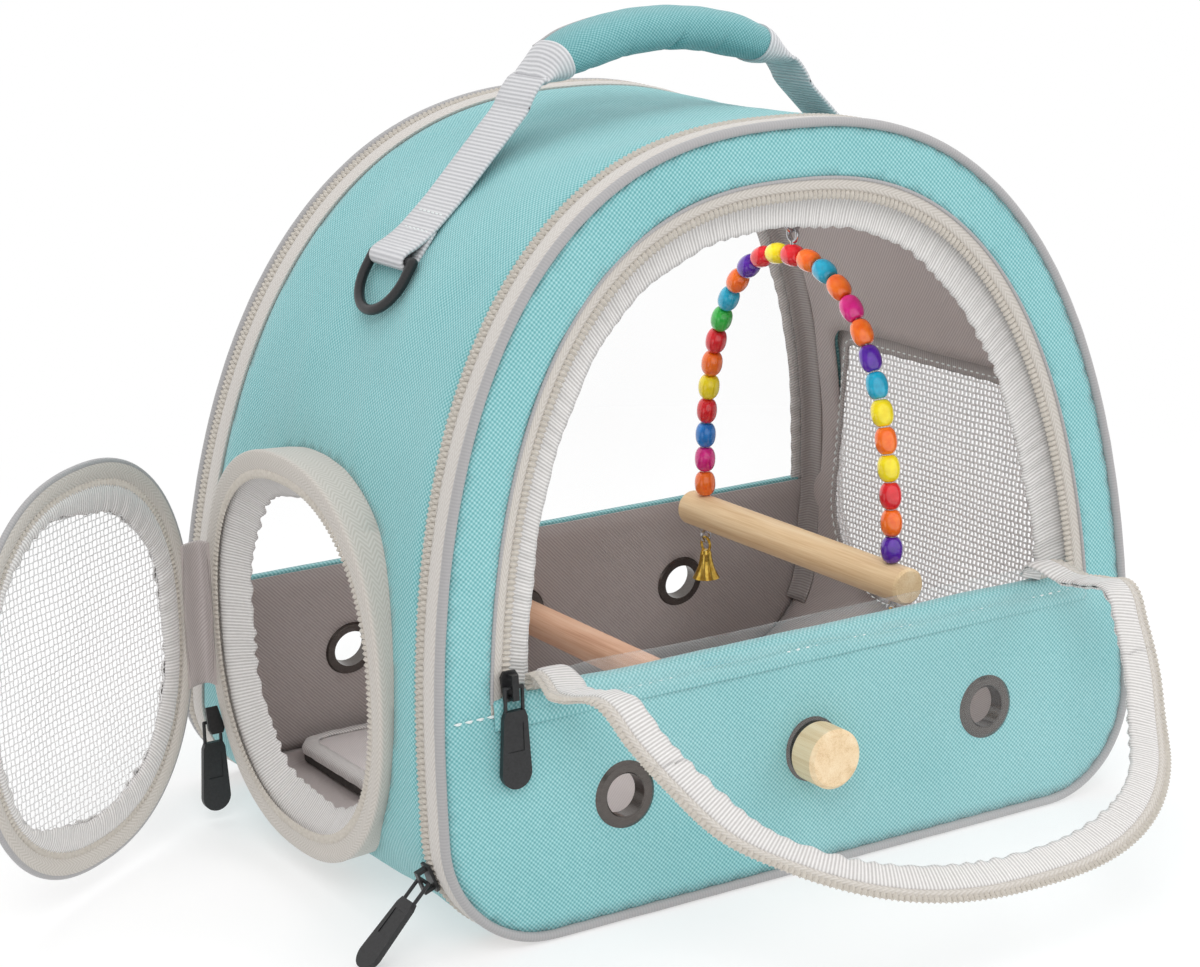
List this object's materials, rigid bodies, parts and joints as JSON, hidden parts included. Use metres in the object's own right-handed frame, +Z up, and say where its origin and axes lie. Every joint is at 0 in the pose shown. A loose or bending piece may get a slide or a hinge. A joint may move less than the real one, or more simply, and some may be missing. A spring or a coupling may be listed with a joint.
{
  "type": "bird travel carrier",
  "caption": "Arched soft-sided bird travel carrier with a fold-down clear window, a zipped mesh side door, a perch in eyelets, a bead swing and a padded top handle.",
  "frame": {"origin": "on the ground plane, at mid width and mid depth of the base", "axes": "+X across the arch towards the fixed net side, +Y from the front window to the rear window, +Z up"},
  "size_m": [0.4801, 0.3709, 0.3192],
  "materials": {
    "teal_cloth": "woven polyester canvas, matt",
    "lining_cloth": "twill lining, matt",
    "piping_cover": "smooth coated piping, satin",
    "zip_tape": "woven zip tape, matt",
    "zip_coil": "moulded coil teeth, satin",
    "silver_binding": "gathered silver grey binding, slight lustre",
    "clear_film": "clear flexible film, gloss",
    "net_cord": "coated mesh cord, satin",
    "mat_cloth": "padded mat cloth, matt",
    "base_cover": "covered stiffening board, matt",
    "webbing": "ribbed webbing, matt",
    "black_metal": "black enamel, satin",
    "gunmetal": "dark plated, gloss",
    "pale_wood": "turned softwood, clear matt",
    "bright_wire": "bright wire",
    "bead_plastic": "gloss, each bead its own bright colour",
    "bell_metal": "polished"
  },
  "bodies": {
    "carrier": {"gusset_shell": "teal_cloth", "gusset_lining": "lining_cloth", "front_panel": "teal_cloth", "front_panel_lining": "lining_cloth", "front_piping": "piping_cover", "front_band": "zip_tape", "front_zip_chain": "zip_coil", "rear_panel": "teal_cloth", "rear_panel_lining": "lining_cloth", "rear_piping": "piping_cover", "rear_band": "zip_tape", "rear_zip_chain": "zip_coil", "rear_window_film": "clear_film", "rear_window_binding": "silver_binding", "window_zip_tape": "zip_tape", "window_zip_coil": "zip_coil", "window_binding": "silver_binding", "front_eyelets": "gunmetal", "rear_eyelets": "gunmetal", "base_board": "base_cover", "floor_mat": "mat_cloth", "floor_mat_binding": "silver_binding", "door_rim_tape": "zip_tape", "door_rim_coil": "zip_coil", "door_rim_binding": "silver_binding", "side_net": "net_cord", "side_net_binding": "silver_binding", "strap_left": "webbing", "strap_right": "webbing", "swing_roof_loop": "lining_cloth", "door_hinge_strip": "lining_cloth", "zip_sliders": "black_metal"},
    "door": {"door_net": "net_cord", "door_binding": "silver_binding", "door_tape": "zip_tape", "door_coil": "zip_coil"},
    "flap_lower": {"flap_film_lower": "clear_film", "flap_edging_lower": "silver_binding"},
    "flap_middle": {"flap_film_middle": "clear_film", "flap_edging_middle": "silver_binding"},
    "flap_tip": {"flap_film_tip": "clear_film", "flap_edging_tip": "silver_binding"},
    "handle": {"handle_grip": "teal_cloth", "handle_end_bindings": "silver_binding", "handle_webbing": "webbing"},
    "ring_left": {"d_ring_left": "black_metal"},
    "ring_right": {"d_ring_right": "black_metal"},
    "perch": {"perch_rod": "pale_wood", "perch_caps": "pale_wood"},
    "hook": {"swing_hook": "bright_wire"},
    "swing": {"swing_wire": "bright_wire", "swing_beads": "bead_plastic", "swing_dowel": "pale_wood", "swing_eye_screws": "bright_wire"},
    "bell_at_front": {"bell_front": "bell_metal"},
    "bell_at_rear": {"bell_rear": "bell_metal"},
    "window_zip_pull": {"window_pull": "black_metal"},
    "door_zip_pull": {"door_pull": "black_metal"},
    "front_zip_pull": {"front_pull": "black_metal"},
    "rear_zip_pull": {"rear_pull": "black_metal"}
  },
  "joints": [
    {"name": "door_hinge", "type": "hinge", "parent": "carrier", "child": "door", "pos_m": [-0.168, 0.074, 0.087], "axis": [0, 0, -1], "range_deg": [-55, 100]},
    {"name": "flap_fold", "type": "hinge", "parent": "carrier", "child": "flap_lower", "pos_m": [0, -0.10797, 0.09469], "axis": [-1, 0, 0], "range_deg": [-8, 86]},
    {"name": "flap_middle_bend", "type": "hinge", "parent": "flap_lower", "child": "flap_middle", "pos_m": [0, -0.15527, 0.10083], "axis": [-1, 0, 0], "range_deg": [-8, 56]},
    {"name": "flap_tip_bend", "type": "hinge", "parent": "flap_middle", "child": "flap_tip", "pos_m": [0, -0.19672, 0.06136], "axis": [-1, 0, 0], "range_deg": [-22, 8]},
    {"name": "handle_fold", "type": "hinge", "parent": "carrier", "child": "handle", "pos_m": [0, -0.01253, 0.287], "axis": [1, 0, 0], "range_deg": [-42, 42], "deforming": ["handle_webbing"]},
    {"name": "ring_left_hinge", "type": "hinge", "parent": "carrier", "child": "ring_left", "pos_m": [-0.11734, -0.01253, 0.23486], "axis": [0, 1, 0], "range_deg": [0, 150]},
    {"name": "ring_right_hinge", "type": "hinge", "parent": "carrier", "child": "ring_right", "pos_m": [0.11734, -0.01253, 0.23486], "axis": [0, -1, 0], "range_deg": [0, 150]},
    {"name": "perch_spin", "type": "hinge", "parent": "carrier", "child": "perch", "pos_m": [0, 0, 0.0476], "axis": [0, 1, 0], "continuous": true},
    {"name": "hook_sway", "type": "hinge", "parent": "carrier", "child": "hook", "pos_m": [0.07, -0.005, 0.25348], "axis": [0, 1, 0], "range_deg": [-20, 20]},
    {"name": "swing_rock", "type": "hinge", "parent": "hook", "child": "swing", "pos_m": [0.07, -0.005, 0.224], "axis": [1, 0, 0], "range_deg": [-6, 6]},
    {"name": "bell_front_swing", "type": "hinge", "parent": "swing", "child": "bell_at_front", "pos_m": [0.07, -0.071, 0.0784], "axis": [1, 0, 0], "range_deg": [-35, 35]},
    {"name": "bell_rear_swing", "type": "hinge", "parent": "swing", "child": "bell_at_rear", "pos_m": [0.07, 0.061, 0.0784], "axis": [1, 0, 0], "range_deg": [-35, 35]},
    {"name": "window_pull_hinge", "type": "hinge", "parent": "carrier", "child": "window_zip_pull", "pos_m": [-0.12992, -0.11388, 0.09805], "axis": [-1, 0, 0], "range_deg": [0, 60]},
    {"name": "door_pull_hinge", "type": "hinge", "parent": "carrier", "child": "door_zip_pull", "pos_m": [-0.1665, 0.06505, 0.04198], "axis": [1, 0, 0], "range_deg": [0, 120]},
    {"name": "front_pull_hinge", "type": "hinge", "parent": "carrier", "child": "front_zip_pull", "pos_m": [-0.16054, -0.09918, 0.02779], "axis": [0, 1, 0], "range_deg": [0, 110]},
    {"name": "rear_pull_hinge", "type": "hinge", "parent": "carrier", "child": "rear_zip_pull", "pos_m": [0.16054, 0.10512, 0.02779], "axis": [0, -1, 0], "range_deg": [0, 110]}
  ],
  "couplings": [
    {"joint": "flap_middle_bend", "follows": "flap_fold", "ratio": 0.59302},
    {"joint": "flap_tip_bend", "follows": "flap_fold", "ratio": -0.2093}
  ]
}
